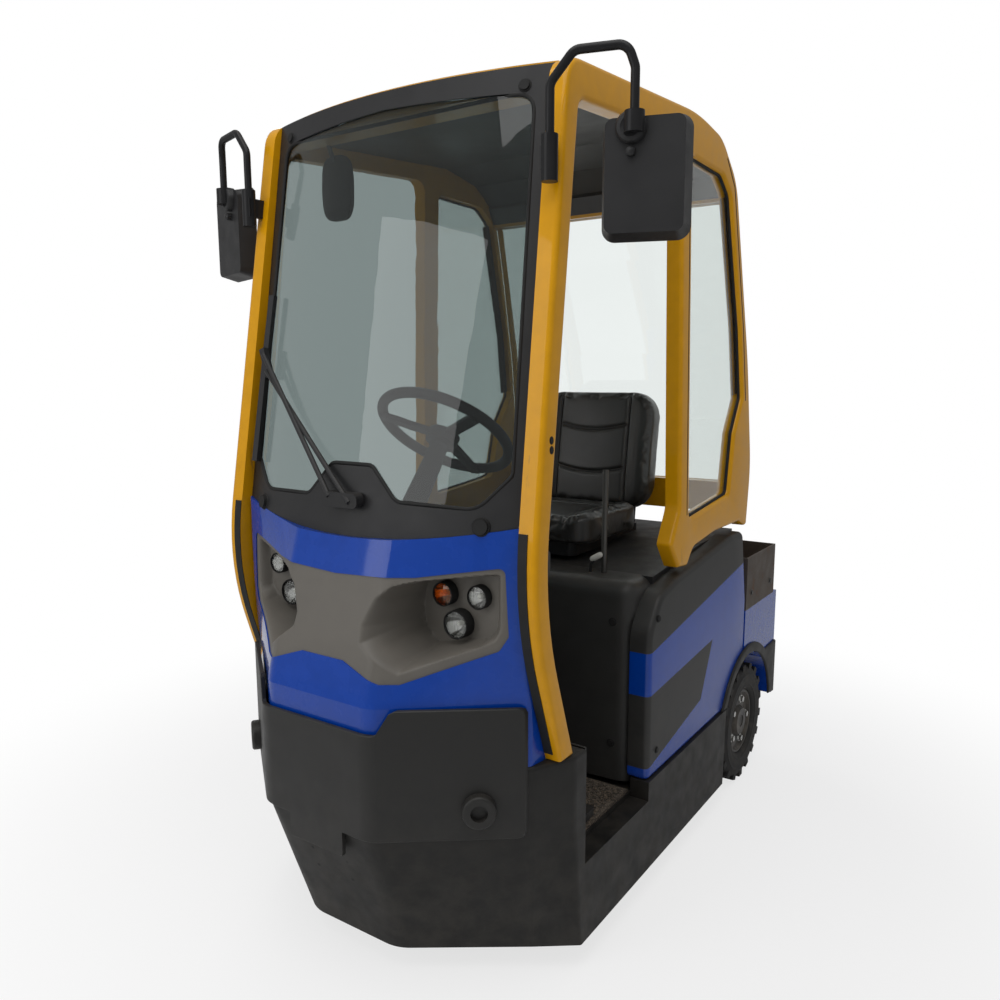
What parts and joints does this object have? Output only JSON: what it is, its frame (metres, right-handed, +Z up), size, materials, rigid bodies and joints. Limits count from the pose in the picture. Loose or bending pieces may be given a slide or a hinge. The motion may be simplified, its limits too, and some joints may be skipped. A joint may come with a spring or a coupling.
{
  "type": "electric tow tractor",
  "caption": "Small three-wheeled electric tow tractor with an open-sided glazed cab, low step, lamp nose, rear load bin and tow coupling.",
  "frame": {"origin": "on the ground under the middle of the vehicle's box", "axes": "+Y to the rear, +X to the driver's left, +Z up; the nose faces -Y"},
  "size_m": [1.4018, 1.934, 2.1157],
  "materials": {
    "graphite": "satin textured",
    "blue": "gloss",
    "cover": "gloss with grey bands",
    "lamp_grey": "satin",
    "yellow": "gloss",
    "glass": "clear",
    "roof_plastic": "translucent",
    "black_plastic": "satin",
    "black_steel": "satin",
    "bright_steel": "brushed",
    "mirror": "polished",
    "lens_clear": "clear",
    "lens_amber": "clear",
    "lens_red": "clear",
    "vinyl": "grained",
    "mat": "studded",
    "bin": "worn",
    "tyre": "matte",
    "rim": "satin"
  },
  "bodies": {
    "chassis": {"front_skirt": "graphite", "front_plate": "graphite", "side_sills": "graphite", "tow_bushes": "graphite", "seat_console": "graphite", "floor_plate": "graphite", "wheel_housing": "graphite", "rear_axle": "graphite", "front_panel": "blue", "rear_body": "blue", "side_covers": "cover", "lamp_panel": "lamp_grey", "side_frames": "yellow", "cross_members": "yellow", "windscreen": "glass", "quarter_windows": "glass", "rear_window": "glass", "roof_panel": "roof_plastic", "windscreen_surround": "black_plastic", "mirror_heads": "black_plastic", "dash": "black_plastic", "steering_column": "black_plastic", "battery_hood": "black_plastic", "wiper": "black_plastic", "pedals": "black_plastic", "mirror_arms": "black_steel", "seat_base": "black_steel", "battery_block": "black_steel", "tow_coupling": "black_steel", "hand_lever": "bright_steel", "coupling_pin": "bright_steel", "mirror_glasses": "mirror", "clear_lamps": "lens_clear", "indicator_lamps": "lens_amber", "tail_lamps": "lens_red", "seat_cushion": "vinyl", "seat_back": "vinyl", "floor_mat": "mat", "load_bin": "bin"},
    "steer": {"steer_fork": "graphite"},
    "front_wheel": {"front_tyre": "tyre", "front_rim": "rim"},
    "rear_wheel_left": {"rear_tyre_left": "tyre", "rear_rim_left": "rim"},
    "rear_wheel_right": {"rear_tyre_right": "tyre", "rear_rim_right": "rim"},
    "hand_wheel": {"steering_wheel": "black_plastic"}
  },
  "joints": [
    {"name": "steer_turn", "type": "hinge", "parent": "chassis", "child": "steer", "pos_m": [0, -0.64, 0.5], "axis": [0, 0, 1], "range_deg": [-75, 75]},
    {"name": "front_wheel_spin", "type": "hinge", "parent": "steer", "child": "front_wheel", "pos_m": [0, -0.64, 0.205], "axis": [1, 0, 0], "continuous": true},
    {"name": "rear_wheel_left_spin", "type": "hinge", "parent": "chassis", "child": "rear_wheel_left", "pos_m": [0.435, 0.59, 0.205], "axis": [1, 0, 0], "continuous": true},
    {"name": "rear_wheel_right_spin", "type": "hinge", "parent": "chassis", "child": "rear_wheel_right", "pos_m": [-0.435, 0.59, 0.205], "axis": [1, 0, 0], "continuous": true},
    {"name": "hand_wheel_turn", "type": "hinge", "parent": "chassis", "child": "hand_wheel", "pos_m": [0, -0.47, 1.262], "axis": [0, 0.6029, 0.7978], "range_deg": [-600, 600]}
  ],
  "couplings": [
    {"joint": "hand_wheel_turn", "follows": "steer_turn", "ratio": 8}
  ]
}
